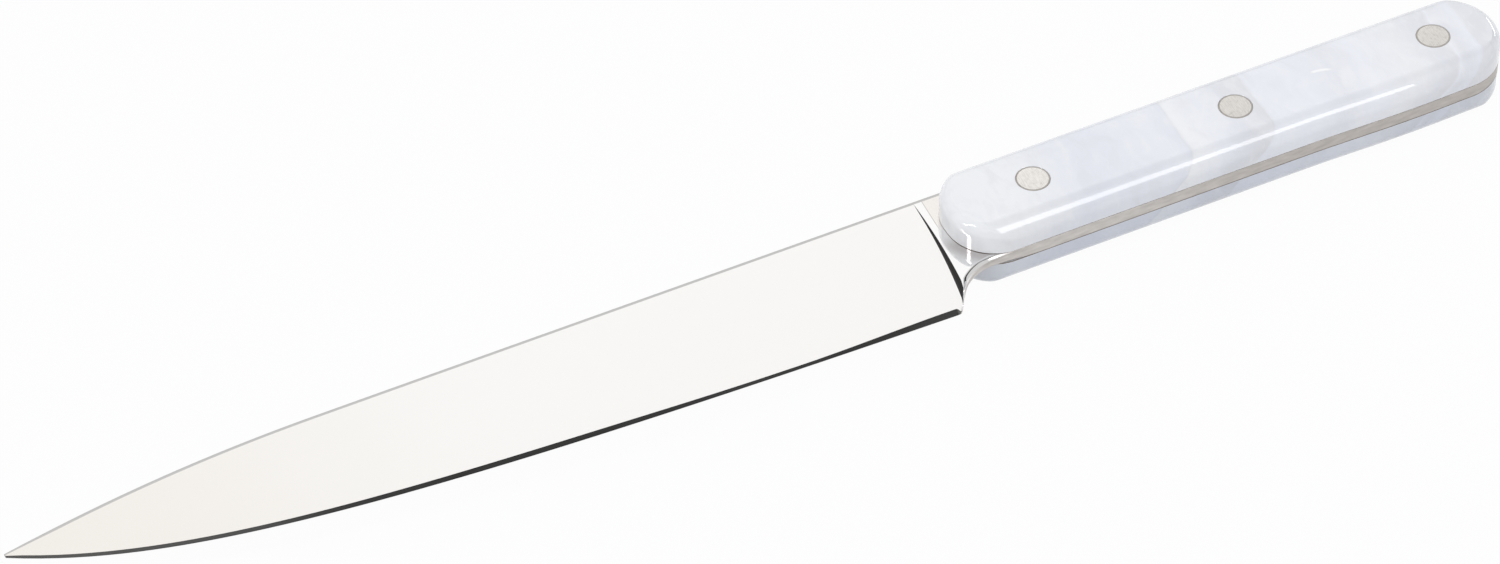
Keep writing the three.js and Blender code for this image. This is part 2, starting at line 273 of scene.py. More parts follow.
def swollen(handle, x, y):
    """The belly's bulge near the butt moves the lower half of the handle down."""
    middle = HANDLE_LENGTH - handle.palm_swell_setback
    along = np.clip((x - middle) / (handle.palm_swell_length / 2), -1, 1)
    bulge = handle.palm_swell * np.cos(along * math.pi / 2) ** 2
    return y - bulge * np.maximum(0, -y / HALF_WIDTH)


class Section:
    """One section through the steel: where it runs, how thick it is and how its corners are rounded."""

    def __init__(self, zone, bow, half):
        self.zone = zone
        self.bow = bow  # place along the knife at a height
        self.half = half  # half thickness at a height
        self.shoulder = None  # height of the sharpened band's upper border


class Steel:
    """The steel from point to butt, as sections that follow its outline."""

    def __init__(self, blade, handle):
        self.blade = blade
        self.handle = handle
        self.edge_half = blade.edge_thickness / 2
        self.lay_out_outline()
        rise = TANG_FACE - self.edge_half - blade.bevel_width * math.tan(blade.bevel_angle)
        self.flank_slope = rise / (HALF_WIDTH - HEEL_Y - blade.bevel_width)
        self.flank, self.flank_shoulder = self.ground(blade.plunge_fillet)

    def lay_out_outline(self):
        b = self.blade
        self.tip_y = HALF_WIDTH - b.point_drop
        heel = (-b.heel_setback - b.heel_corner, HEEL_Y)
        corner = (-b.heel_setback, HEEL_Y)
        lean = (math.sin(b.heel_lean), math.cos(b.heel_lean))
        corner_end = (corner[0] + b.heel_corner * lean[0], corner[1] + b.heel_corner * lean[1])
        tip = (POINT_X, self.tip_y - b.point_width / 2)
        from_tip = moved(tip, b.point_reach, -b.point_angle)
        from_heel = moved(heel, -b.edge_reach, -b.edge_rise)
        self.edge = bezier((tip, from_tip, from_heel, heel), CURVE_STEPS)
        bend = (
            (POINT_X, self.tip_y + b.point_width / 2),
            (POINT_X + b.spine_curve / 2, HALF_WIDTH),
            (POINT_X + b.spine_curve, HALF_WIDTH),
        )
        self.spine = bezier(bend, CURVE_STEPS)
        turn = math.pi / 2 - b.heel_lean
        crossing = corner[0] + (-HALF_WIDTH - HEEL_Y) * math.tan(b.heel_lean)
        neck_x = crossing + b.neck_radius * math.tan(turn / 2)
        turns = np.linspace(turn, 0, CURVE_STEPS)
        neck = np.c_[
            neck_x - b.neck_radius * np.sin(turns),
            -HALF_WIDTH - b.neck_radius + b.neck_radius * np.cos(turns),
        ]
        belly_x = np.linspace(neck_x, BUTT_X, CURVE_STEPS)[1:]
        belly = np.c_[belly_x, swollen(self.handle, belly_x, np.full_like(belly_x, -HALF_WIDTH))]
        corner_points = bezier((heel, corner, corner_end), CURVE_STEPS)[1:]
        self.under = np.concatenate((self.edge, corner_points, neck, belly))

    def lower(self, x):
        return np.interp(x, self.under[:, 0], self.under[:, 1])

    def upper(self, x):
        return np.interp(x, self.spine[:, 0], self.spine[:, 1])

    def inward(self, height, x, side):
        """Direction into the steel from its outline, seen from above."""
        slope = (height(x + PROBE) - height(x - PROBE)) / (2 * PROBE)
        scale = side / math.hypot(1, slope)
        return -slope * scale, scale

    def plunge(self, y):
        """Place of the plunge line at a height: an arc that leans forward below the spine."""
        sweep = self.blade.plunge_sweep
        return -self.blade.plunge_setback - (sweep - np.sqrt(sweep**2 - (HALF_WIDTH - y) ** 2))

    def settle(self, height, bow, start):
        """Height at which a section meets the outline."""
        y = start
        for _ in range(SETTLE_ROUNDS):
            y = height(bow(y))
        return y

    def ground(self, ahead):
        """Thickness and shoulder of the flat-ground section at a distance ahead of the plunge line."""
        b = self.blade
        edge_at = lambda x: np.interp(x, self.edge[:, 0], self.edge[:, 1])
        edge_y = self.settle(edge_at, lambda y: self.plunge(y) - ahead, HEEL_Y)
        edge_x = self.plunge(edge_y) - ahead
        heel_x = self.edge[-1, 0]
        plain = self.edge_half + b.bevel_width * math.tan(b.bevel_angle)
        flank = lambda y: plain + self.flank_slope * (y - edge_y - b.bevel_width)
        near_heel = smooth(heel_x - b.heel_bevel_reach, heel_x, edge_x)
        near_tip = smooth(POINT_X + b.tip_bevel_reach, POINT_X + b.tip_bevel_reach / 4, edge_x)
        waist_x = heel_x - b.waist_bevel_reach
        near_waist = smooth(waist_x, waist_x + b.waist_bevel_reach / 2, edge_x) * (1 - near_heel)
        width = b.bevel_width + (b.heel_bevel_width - b.bevel_width) * near_heel
        width += (b.waist_bevel_width - b.bevel_width) * near_waist
        width += (b.tip_bevel_width - b.bevel_width) * near_tip
        width = min(width, (self.upper(edge_x) - edge_y) / BEVEL_LIMIT)
        steepness = (flank(edge_y + width) - self.edge_half) / width
        width *= 1 - smooth(heel_x, heel_x + b.heel_corner, edge_x)
        shoulder = edge_y + width
        half = lambda y: flank(np.maximum(y, shoulder)) - steepness * np.maximum(0, shoulder - y)
        return half, shoulder

    def sections(self):
        b = self.blade
        fillet = b.plunge_fillet
        tip_y = self.tip_y
        reach = self.plunge(tip_y) - POINT_X
        found = []
        for step in range(BLADE_STEPS, -1, -1):
            along = step / BLADE_STEPS
            ahead = fillet + (reach - fillet) * along**BLADE_CROWDING
            bow = lambda y, ahead=ahead, along=along: self.plunge(y + (tip_y - y) * along) - ahead
            half, shoulder = self.ground(ahead)
            section = Section("blade", bow, half)
            section.shoulder = shoulder
            found.append(section)
        flank, shoulder = self.flank, self.flank_shoulder
        depth = lambda y: np.maximum(0, TANG_FACE - flank(y))
        radius = lambda y: np.minimum(fillet, b.plunge_taper * depth(y))
        turn = lambda y: np.arccos(1 - np.minimum(1, depth(y) / np.maximum(radius(y), MERGE)))
        full = lambda y: np.full_like(np.asarray(y, float), TANG_FACE)

        def groove(part):
            bow = lambda y: self.plunge(y) - radius(y) * (1 - np.sin(part * turn(y)))
            half = lambda y: flank(y) + radius(y) * (1 - np.cos(part * turn(y)))
            return bow, full if part == 1 else half

        for step in range(GROOVE_STEPS + 1):
            section = Section("groove" if step else "blade", *groove(step / GROOVE_STEPS))
            section.shoulder = None if step else shoulder
            found.append(section)
        crease = groove(1)[0]
        collar_end = self.handle_corner()
        for step in range(1, COLLAR_STEPS + 1):
            part = step / COLLAR_STEPS
            bow = lambda y, part=part: crease(y) * (1 - part) + collar_end * part
            found.append(Section("collar", bow, full))
        for step in range(1, TANG_STEPS + 1):
            x = collar_end + (BUTT_X - collar_end) * step / TANG_STEPS
            found.append(Section("tang", lambda y, x=x: x + 0 * y, full))
        for section in found:
            self.fit_to_outline(section)
        for butt_turn in quarter(BUTT_STEPS)[1:]:
            found.append(self.butt_section(butt_turn, full))
        return found

    def handle_corner(self):
        """Where the round front end of the scales meets their straight sides."""
        return HALF_WIDTH - self.handle.front_flat / 2

    def fit_to_outline(self, section):
        low = self.settle(self.lower, section.bow, -HALF_WIDTH)
        high = self.settle(self.upper, section.bow, HALF_WIDTH)
        section.low = (float(section.bow(low)), float(low))
        section.high = (float(section.bow(high)), float(high))
        section.low_in = self.inward(self.lower, section.low[0], 1)
        section.high_in = self.inward(self.upper, section.high[0], -1)
        self.round_corners(section)

    def butt_section(self, turn, full):
        x = BUTT_X + HALF_WIDTH * math.sin(turn)
        y = HALF_WIDTH * math.cos(turn)
        section = Section("tang", lambda y: x + 0 * y, full)
        section.low = (x, float(swollen(self.handle, x, -y)))
        section.high = (x, y)
        section.low_in = (-math.sin(turn), math.cos(turn))
        section.high_in = (-math.sin(turn), -math.cos(turn))
        self.round_corners(section)
        return section

    def round_corners(self, section):
        """The neck and the spine are rounded, and the tang's rim only has its corners broken."""
        b = self.blade
        x, y = section.low
        heel_end = -b.heel_setback
        corner_x = self.handle_corner()
        past_heel = smooth(heel_end, heel_end + 2 * b.heel_corner, x)
        in_handle = smooth(corner_x / 2, 1.5 * corner_x, x)
        behind = max(0, x - self.plunge(y))
        neck = min(b.neck_rounding, NECK_SHARE * float(self.flank(y)) + NECK_GROWTH * behind)
        section.wall_rounding = past_heel * (neck * (1 - in_handle) + b.tang_edge_rounding * in_handle)
        x, y = section.high
        top = float(section.half(y))
        in_handle = smooth(corner_x / 2, corner_x, x)
        deep = min(b.spine_ease_depth, top / 2)
        wide = b.spine_ease_width * deep / b.spine_ease_depth
        section.ease_depth = deep * (1 - in_handle) + b.tang_edge_rounding * in_handle
        section.ease_width = wide * (1 - in_handle) + b.tang_edge_rounding * in_handle

    def ring(self, section):
        """One side of a section, from the middle of its lower wall to the middle of its upper one."""

        def corner(wall, into, inset, drop):
            y = wall[1] + into[1] * inset
            return wall[0] + into[0] * inset, y, float(section.half(y)) - drop

        rounding = section.wall_rounding
        points = [(*section.low, 0.0)]
        for turn in quarter(ROUNDING_STEPS):
            inset = rounding * (1 - math.cos(turn))
            drop = rounding * (1 - math.sin(turn))
            points.append(corner(section.low, section.low_in, inset, drop))
        start = points[-1][1]
        shoulder = start if section.shoulder is None else max(start, section.shoulder)
        end = section.high[1] + section.high_in[1] * section.ease_width
        heights = [start + (shoulder - start) * step / BEVEL_STEPS for step in range(1, BEVEL_STEPS + 1)]
        heights += [shoulder + (end - shoulder) * step / FLANK_STEPS for step in range(1, FLANK_STEPS)]
        aside = points[-1][0] - float(section.bow(start))
        fade = lambda h: 1 - smooth(start, start + ROUNDING_FADE * rounding + MERGE, h)
        points += [(float(section.bow(h) + aside * fade(h)), h, float(section.half(h))) for h in heights]
        for turn in quarter(ROUNDING_STEPS):
            inset = section.ease_width * (1 - math.sin(turn))
            drop = section.ease_depth * (1 - math.cos(turn))
            points.append(corner(section.high, section.high_in, inset, drop))
        points.append((*section.high, 0.0))
        return points


# Order of the finishes on the blade
FLANK, BEVEL, GROOVE, COLLAR, SPINE, TANG = range(6)

# Steps along one side of a section
SHOULDER_STEP = 1 + ROUNDING_STEPS + BEVEL_STEPS
EASE_STEP = SHOULDER_STEP + FLANK_STEPS


def blade_finish(section, step):
    """The finish of the strip before a section, at a step along its side."""
    if step < 1 + ROUNDING_STEPS:
        return TANG if section.wall_rounding else BEVEL
    if step >= EASE_STEP:
        return TANG if section.zone == "tang" else SPINE
    if section.zone == "blade":
        return BEVEL if step < SHOULDER_STEP else FLANK
    return GROOVE if section.zone == "groove" else COLLAR


def circle(bm, centre, radius, z):
    """A closed ring of vertices round an upright axis."""
    turns = [2 * math.pi * step / TURN_STEPS for step in range(TURN_STEPS)]
    x, y = centre
    return [bm.verts.new((x + radius * math.cos(t), y + radius * math.sin(t), z)) for t in turns]


def around(loop):
    """Each vertex of a closed loop, with the one after it."""
    return zip(loop, loop[1:] + loop[:1])


def bridge(bm, first, second, finish=0):
    """Faces between two rings of equal count."""
    for (a, b), (d, c) in zip(around(first), around(second)):
        bm.faces.new((a, b, c, d)).material_index = finish


def fill_flat(bm, loops, finish=0):
    """Faces in a flat outline around its holes."""
    edges = []
    for loop in loops:
        for a, b in around(loop):
            edges.append(bm.edges.get((a, b)) or bm.edges.new((a, b)))
    made = bmesh.ops.triangle_fill(bm, use_beauty=True, use_dissolve=False, edges=edges)
    for item in made["geom"]:
        if isinstance(item, bmesh.types.BMFace):
            item.material_index = finish


def boundary_loop(faces):
    """The outer border of a patch of faces, as vertices in order."""
    patch = set(faces)
    edges = [edge for face in faces for edge in face.edges]
    border = [edge for edge in edges if sum(face in patch for face in edge.link_faces) == 1]
    loop = list(border[0].verts)
    left = set(border[1:])
    while left:
        edge = next(e for e in left if loop[-1] in e.verts)
        left.remove(edge)
        loop.append(edge.other_vert(loop[-1]))
    return loop[:-1]


def drill_tang(bm, radius):
    """Opens a round hole through the flat tang at each rivet."""
    for x in RIVET_X.values():
        mouths = []
        for z in (TANG_FACE, -TANG_FACE):
            near = []
            for face in bm.faces:
                middle = face.calc_center_median()
                flat = abs(middle.z - z) < MERGE
                if flat and max(abs(middle.x - x), abs(middle.y)) < 2 * radius:
                    near.append(face)
            loop = boundary_loop(near)
            bmesh.ops.delete(bm, geom=near, context="FACES_KEEP_BOUNDARY")
            mouth = circle(bm, (x, 0), radius, z)
            fill_flat(bm, (loop, mouth), COLLAR)
            mouths.append(mouth)
        bridge(bm, *mouths, COLLAR)


def blade_mesh(blade, handle, hole_radius):
    steel = Steel(blade, handle)
    sections = steel.sections()
    bm = bmesh.new()
    sides = []
    for section in sections:
        upper = [bm.verts.new(point) for point in steel.ring(section)]
        lower = [bm.verts.new((v.co.x, v.co.y, -v.co.z)) for v in upper]
        sides.append((upper, lower))
    crease = max(i for i, section in enumerate(sections) if section.zone == "groove")
    last = len(sides[0][0]) - 1
    for i in range(1, len(sides)):
        for side in (0, 1):
            before, after = sides[i - 1][side], sides[i][side]
            for step in range(last):
                face = bm.faces.new((before[step], before[step + 1], after[step + 1], after[step]))
                face.material_index = blade_finish(sections[i], step)
                keep_sharp = sections[i].zone == "blade" and step in (1, SHOULDER_STEP)
                if keep_sharp:
                    bm.edges.get((before[step], after[step])).smooth = False
                if i == crease:
                    bm.edges.get((after[step], after[step + 1])).smooth = False
    for step in range(last):
        upper, lower = sides[0]
        face = bm.faces.new((upper[step], upper[step + 1], lower[step + 1], lower[step]))
        face.material_index = BEVEL
    bmesh.ops.remove_doubles(bm, verts=bm.verts, dist=MERGE)
    bmesh.ops.dissolve_degenerate(bm, edges=bm.edges, dist=MERGE)
    drill_tang(bm, hole_radius)
    return bm


# Order of the finishes on a scale
PEARL, JOINT = range(2)


def drawn_in(radius, depth):
    """How far an edge of a radius is drawn in at a depth below the face."""
    left = max(0, radius - depth)
    return radius - math.sqrt(radius**2 - left**2)


def scale_outline(handle, end_inset, side_inset):
    """A scale's outline, anticlockwise from the middle of its front end.

    It is drawn in evenly, then cut along its sides with a soft corner where the cuts end.
    """
    flat = handle.front_flat / 2
    middle = HALF_WIDTH - flat
    radius = middle - end_inset
    half = HALF_WIDTH - end_inset
    down = np.linspace(math.pi, 1.5 * math.pi, CORNER_STEPS + 1)
    round_butt = np.linspace(-math.pi / 2, math.pi / 2, 2 * BUTT_STEPS + 1)
    up = np.linspace(math.pi / 2, math.pi, CORNER_STEPS + 1)
    along = np.linspace(middle, BUTT_X, SIDE_STEPS + 1)[1:-1]
    stretches_x = (
        middle + radius * np.cos(down),
        along,
        BUTT_X + half * np.cos(round_butt),
        along[::-1],
        middle + radius * np.cos(up),
    )
    stretches_y = (
        -flat + radius * np.sin(down),
        np.full(SIDE_STEPS - 1, -half),
        half * np.sin(round_butt),
        np.full(SIDE_STEPS - 1, half),
        flat + radius * np.sin(up),
    )
    x, y = np.concatenate(stretches_x), np.concatenate(stretches_y)
    side = HALF_WIDTH - side_inset
    soft = SOFT_CORNER * (side_inset - end_inset)
    cut = (np.abs(y) + side - np.hypot(np.abs(y) - side, soft)) / 2
    return np.c_[x, swollen(handle, x, np.sign(y) * cut)]


def scale_mesh(handle, rivet):
    """The upper scale: rounded outside, flat on the tang, with a stepped hole for each rivet."""
    bm = bmesh.new()

    def ring(end_inset, side_inset, z):
        return [bm.verts.new((x, y, z)) for x, y in scale_outline(handle, end_inset, side_inset)]

    chamfer = handle.joint_chamfer
    rings = [ring(chamfer, chamfer, TANG_FACE), ring(0, 0, TANG_FACE + chamfer)]
    end_rounding, side_rounding = handle.end_rounding, handle.side_rounding
    for turn in quarter(SCALE_ROUNDING_STEPS):
        depth = side_rounding * (1 - math.sin(turn))
        end_inset = drawn_in(end_rounding, depth + handle.end_lap)
        rings.append(ring(end_inset, drawn_in(side_rounding, depth), SCALE_FACE - depth))
    border = rings[-1]
    rings.append(ring(end_rounding + FACE_HOLD, side_rounding + FACE_HOLD, SCALE_FACE))
    for i in range(1, len(rings)):
        bridge(bm, rings[i - 1], rings[i], JOINT if i == 1 else PEARL)
    for a, b in around(border):
        bm.edges.get((a, b)).smooth = False
    shank = rivet.shank_width / 2 + handle.hole_clearance
    seat = SCALE_FACE - rivet.head_depth
    mouths, tails = [], []
    for x in RIVET_X.values():
        steps = (
            (HEAD_RADIUS + handle.hole_chamfer, SCALE_FACE),
            (HEAD_RADIUS, SCALE_FACE - handle.hole_chamfer),
            (HEAD_RADIUS, seat),
            (shank, seat),
            (shank, TANG_FACE),
        )
        hole = [circle(bm, (x, 0), radius, z) for radius, z in steps]
        for first, second in zip(hole, hole[1:]):
            bridge(bm, first, second)
        mouths.append(hole[0])
        tails.append(hole[-1])
    fill_flat(bm, [rings[-1], *mouths])
    fill_flat(bm, [rings[0], *tails])
    return bm


def turned_mesh(profile):
    """A round piece on the Z axis, from (radius, height) pairs that start and end on the axis."""
    bm = bmesh.new()
    rings = [circle(bm, (0, 0), radius, z) for radius, z in profile[1:-1]]
    for first, second in zip(rings, rings[1:]):
        bridge(bm, first, second)
    for ring, (_, z) in ((rings[0], profile[0]), (rings[-1], profile[-1])):
        pole = bm.verts.new((0, 0, z))
        for a, b in around(ring):
            bm.faces.new((pole, a, b))
    return bm


# Order of the finishes on a rivet
GROUND, RIM = range(2)


def dull_rim(bm, radius, depth):
    """Gives the broken rim of a rivet's head its own finish."""
    for face in bm.faces:
        middle = face.calc_center_median()
        face.material_index = RIM if middle.xy.length > radius and middle.z > depth else GROUND


def mirror(bm):
    for vert in bm.verts:
        vert.co.z = -vert.co.z


def finish_piece(name, bm, materials, place=Vector((0, 0, 0))):
    """Turns a mesh into a piece that stands for the solid of its name."""
    bmesh.ops.recalc_face_normals(bm, faces=bm.faces)
    for face in bm.faces:
        face.smooth = True
    for edge in bm.edges:
        if edge.calc_face_angle(0) > SHARP_ANGLE:
            edge.smooth = False
    bmesh.ops.translate(bm, verts=bm.verts, vec=ORIGIN + place)
    mesh = bpy.data.meshes.new(name + "_mesh")
    bm.to_mesh(mesh)
    bm.free()
    for material in materials:
        mesh.materials.append(material)
    piece = bpy.data.objects.new(name + "_finished", mesh)
    bpy.context.collection.objects.link(piece)
    normals = piece.modifiers.new("Even normals", "WEIGHTED_NORMAL")
    normals.keep_sharp = True
    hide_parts(name)
    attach(piece, BODY)
    return piece


# Finishes

WHITE = (1, 1, 1)

# Sizes of grain along the knife, across it and through it, in millimetres
SOFT_CLOUDS = (25, 12, 12)
CROSS_GRIND = (0.07, 5, 5)
HONED_STREAKS = (14, 0.2, 0.1)
GROOVE_STREAKS = (1, 0.06, 0.06)
SPINE_STREAKS = (4, 0.05, 0.05)
RIM_SANDING = (4, 0.06, 0.06)
HAIRLINES = (0.9, 0.03, 1)
RIVET_GRIND = (0.12, 1.6, 1)
RIVET_SCRATCHES = (0.1, 1.5, 1)
ADHESIVE_SMEARS = (2.5, 2.5, 0.4)
RIM_SMEARS = (0.5, 0.5, 0.5)

WARM_REACH = 100 * MM  # of the flank, back from the point
PATCH_LEAN = 0.072  # of the line in front of the collar's satin patch
PATCH_LEAD = 0.18 * MM  # of that line at the spine, ahead of the scales
PATCH_LINE = 0.16 * MM  # half the width of that line
PATCH_LINE_COLOUR = (0.3, 0.28, 0.26)
# Tint of a painted reflection of the scales, on the collar round their front
SCALE_REFLECTION_TINT = (0.74, 0.71, 0.7)
REAR_TINT = (0.86, 0.85, 0.84)
GRIND_TINT = (0.83, 0.82, 0.81)
SPOT_TINT = (0.72, 0.71, 0.69)
SCRATCH_TURN = 0.9  # of the rivets' scratches from their grind, in radians
# A painted glint: a pale thin curved streak on the pearl behind the middle rivet
GLINT_X, GLINT_Y = 76.7 * MM, 1.55 * MM
GLINT_BEND = 68  # drop of the glint for each square of its length, in metres
GLINT_COLOUR = (0.95, 0.955, 0.96)

# Bands of the pearl: millimetres from the front end, and a shade between two others
PEARL_BANDS = (
    (0, "light", "light", 0),
    (12, "light", "light", 0),
    (20, "light", "deep", 0.5),
    (27, "deep", "deep", 0),
    (36, "deep", "cool", 0.4),
    (42, "cool", "cool", 0),
    (46.6, "deep", "deep", 0),
    (47.2, "deep", "grey", 0.6),
    (47.6, "light", "light", 0),
    (54, "cool", "cool", 0),
    (58, "deep", "grey", 0.5),
    (63.8, "grey", "grey", 0),
    (64.3, "cool", "cool", 0),
    (74, "cool", "cool", 0),
    (80, "cool", "grey", 0.4),
    (86, "light", "cool", 0.8),
    (95, "light", "grey", 0.4),
    (100, "deep", "grey", 0.7),
    (103, "grey", "grey", 0),
    (103.4, "cool", "light", 0.2),
    (104.2, "cool", "grey", 0.5),
    (105.5, "deep", "grey", 0.6),
    (108.4, "cool", "deep", 0.4),
    (108.8, "deep", "grey", 0.9),
    (112, "grey", "grey", 0),
    (115, "grey", "grey", 0),
)


def lay_stops(elements, stops):
    """Fills a ramp with stops of a place and a colour."""
    while len(elements) < len(stops):
        elements.new(1.0)
    for element, (position, shade) in zip(elements, stops):
        element.position = position
        element.color = (*shade, 1)


class Wire:
    """A socket in a shader. Sums on wires add Math nodes."""

    def __init__(self, tree, socket=None):
        self.tree = tree
        self.socket = socket

    def add(self, kind, settings=None, sockets=None, output=0):
        """Adds a node, sets it up, then fills or links its sockets, and gives one of its outputs."""
        node = self.tree.nodes.new(kind)
        for name, value in (settings or {}).items():
            if name == "stops":
                lay_stops(node.color_ramp.elements, value)
            else:
                setattr(node, name, value)
        for key, value in (sockets or {}).items():
            socket = node.inputs[key]
            if isinstance(value, Wire):
                self.tree.links.new(value.socket, socket)
            elif socket.type == "RGBA":
                socket.default_value = (*value, 1)
            else:
                socket.default_value = value
        return Wire(self.tree, node.outputs[output] if node.outputs else None)

    def other(self, output):
        """Another output of the same node."""
        return Wire(self.tree, self.socket.node.outputs[output])

    def math(self, operation, first, second):
        return self.add("ShaderNodeMath", {"operation": operation}, {0: first, 1: second})

    def __add__(self, value):
        return self.math("ADD", self, value)

    def __radd__(self, value):
        return self.math("ADD", value, self)

    def __sub__(self, value):
        return self.math("SUBTRACT", self, value)

    def __rsub__(self, value):
        return self.math("SUBTRACT", value, self)

    def __mul__(self, value):
        return self.math("MULTIPLY", self, value)

    def __rmul__(self, value):
        return self.math("MULTIPLY", value, self)

    def __truediv__(self, value):
        return self.math("DIVIDE", self, value)

    def __rtruediv__(self, value):
        return self.math("DIVIDE", value, self)

    def __pow__(self, value):
        return self.math("POWER", self, value)

    def __rpow__(self, value):
        return self.math("POWER", value, self)


def parted(place):
    """The three parts of a place or a direction."""
    x = place.add("ShaderNodeSeparateXYZ", {}, {0: place})
    return x, x.other("Y"), x.other("Z")


def mixed(factor, first, second, blend="MIX"):
    """A colour between two others."""
    settings = {"data_type": "RGBA", "blend_type": blend}
    return factor.add("ShaderNodeMix", settings, {0: factor, 6: first, 7: second}, 2)


def tinted(factor, colour, tint):
    """A colour multiplied by a tint, as far as a factor."""
    return mixed(factor, colour, tint, "MULTIPLY")


def shaded(colour, amount):
    """A plain colour, darker or lighter."""
    return tuple(channel * amount for channel in colour)


def rising(value, low, high):
    """Rises smoothly from 0 at low to 1 at high."""
    settings = {"interpolation_type": "SMOOTHSTEP"}
    return value.add("ShaderNodeMapRange", settings, {0: value, 1: low, 2: high})


def noise(place, grain, detail=2.0, roughness=0.5):
    """Cloudy values from 0 to 1, in grains of a size along each axis."""
    per_grain = tuple(1 / (size * MM) for size in grain)
    grains = place.add("ShaderNodeVectorMath", {"operation": "MULTIPLY"}, {0: place, 1: per_grain})
    sockets = {"Vector": grains, "Scale": 1.0, "Detail": detail, "Roughness": roughness}
    return place.add("ShaderNodeTexNoise", {}, sockets)


def bumped(height, distance):
    sockets = {"Height": height, "Distance": distance, "Strength": 1.0}
    return height.add("ShaderNodeBump", {}, sockets)


def empty_shader(owner):
    """Clears the nodes of a material or a world, and gives a wire to build on."""
    owner.use_nodes = True
    owner.node_tree.nodes.clear()
    return Wire(owner.node_tree)


def new_finish(name):
    """An empty material, with the place on the piece as a wire."""
    material = bpy.data.materials.new(name)
    return material, empty_shader(material).add("ShaderNodeTexCoord", {}, {}, "Object")


def surfaced(material, place, sockets):
    """Gives a material its surface."""
    shader = place.add("ShaderNodeBsdfPrincipled", {}, sockets)
    place.add("ShaderNodeOutputMaterial", {}, {"Surface": shader})
    return material


def steel_finish(name, colour, roughness, grain, depth, cloud=0.04):
    """Steel with a fine grain: roughness varies a little along it, and the grain is cut to a depth."""
    material, place = new_finish(name)
    lines = noise(place, grain, 3)
    clouds = noise(place, SOFT_CLOUDS, 3)
    sockets = {
        "Base Color": mixed(clouds * 0.6 + lines * 0.4, shaded(colour, 1 - cloud), colour),
        "Metallic": 1.0,
        "Roughness": roughness * (0.8 + lines * 0.25 + clouds * 0.15),
        "Normal": bumped(lines, depth),
    }
    return surfaced(material, place, sockets)


def flank_finish(colour, tint):
    """Satin steel, ground across the blade, with a warmer cast towards the point."""
    material, place = new_finish("satin_flank")
    x, _, _ = parted(place)
    lines = noise(place, CROSS_GRIND, 3)
    clouds = noise(place, SOFT_CLOUDS, 3)
    warm = rising(x, BLADE_LOW.x + WARM_REACH, BLADE_LOW.x)
    plain = mixed(clouds * 0.6 + lines * 0.4, shaded(colour, 0.95), colour)
    sockets = {
        "Base Color": tinted(warm, plain, tint),
        "Metallic": 1.0,
        "Roughness": 0.16 + lines * 0.05 + clouds * 0.03,
        "Normal": bumped(lines, 0.002 * MM),
    }
    return surfaced(material, place, sockets)


def collar_finish(colour, tint):
    """Mirror polish with hairline scratches.

    Beside the scales it has a satin patch behind a fine line, and below that a darker curved band, a
    painted reflection of the scales' front.
    """
    material, place = new_finish("polished_collar")
    x, y, _ = parted(place)
    behind = x - ORIGIN.x + (ORIGIN.y + HALF_WIDTH - y) * PATCH_LEAN + PATCH_LEAD
    high = rising(y, ORIGIN.y + 0.5 * MM, ORIGIN.y + 3 * MM)
    grain = noise(place, (0.25, 0.25, 0.25), 3)
    patch = rising(behind, 0.0, 0.05 * MM) * high * (0.55 + grain * 0.9)
    line = rising(behind, -PATCH_LINE, 0.0) * rising(behind, PATCH_LINE, 0.0) * high
    round_x = x - ORIGIN.x - HALF_WIDTH
    round_y = y - ORIGIN.y
    off_scale = (round_x * round_x + round_y * round_y) ** 0.5 - HALF_WIDTH
    low = rising(y, ORIGIN.y - 1 * MM, ORIGIN.y - 4 * MM)
    # Painted reflection: a darker band on the collar round the scales' front, below the middle
    painted_reflection = rising(off_scale, 3.4 * MM, 1 * MM) * low * (0.75 + grain * 0.5)
    scratch = rising(noise(place, HAIRLINES, 1), 0.7, 0.78)
    haze = noise(place, (6, 6, 6), 3)
    plain = mixed(haze, shaded(colour, 0.97), colour)
    lined = mixed(line * 0.5, tinted(patch, plain, tint), PATCH_LINE_COLOUR)
    sockets = {
        "Base Color": tinted(painted_reflection, lined, SCALE_REFLECTION_TINT),
        "Metallic": 1.0,
        "Roughness": 0.04 + scratch * 0.08 + haze * 0.02 + patch * 0.1,
    }
    return surfaced(material, place, sockets)


def tang_finish(colour, polished):
    """The tang's rim: polished at the neck, sanded along the handle."""
    material, place = new_finish("sanded_tang_rim")
    x, _, _ = parted(place)
    _, _, upright = parted(place.add("ShaderNodeNewGeometry", {}, {}, "True Normal"))
    flat = rising(upright * upright, 0.2, 0.06)
    sanded = rising(x + flat * (20 * MM), ORIGIN.x + 2 * MM, ORIGIN.x + 9 * MM)
    lines = noise(place, RIM_SANDING, 3)
    clouds = noise(place, (3, 3, 0.8), 3)
    plain = mixed(clouds * 0.7 + lines * 0.3, shaded(colour, 0.62), shaded(colour, 1.38))
    rear = rising(x, ORIGIN.x + 20 * MM, ORIGIN.x + 75 * MM)
    sockets = {
        "Base Color": mixed(sanded, polished, tinted(rear, plain, REAR_TINT)),
        "Metallic": 1.0,
        "Roughness": 0.06 + sanded * (0.28 + lines * 0.15),
        "Normal": bumped(lines * sanded, 0.004 * MM),
    }
    return surfaced(material, place, sockets)


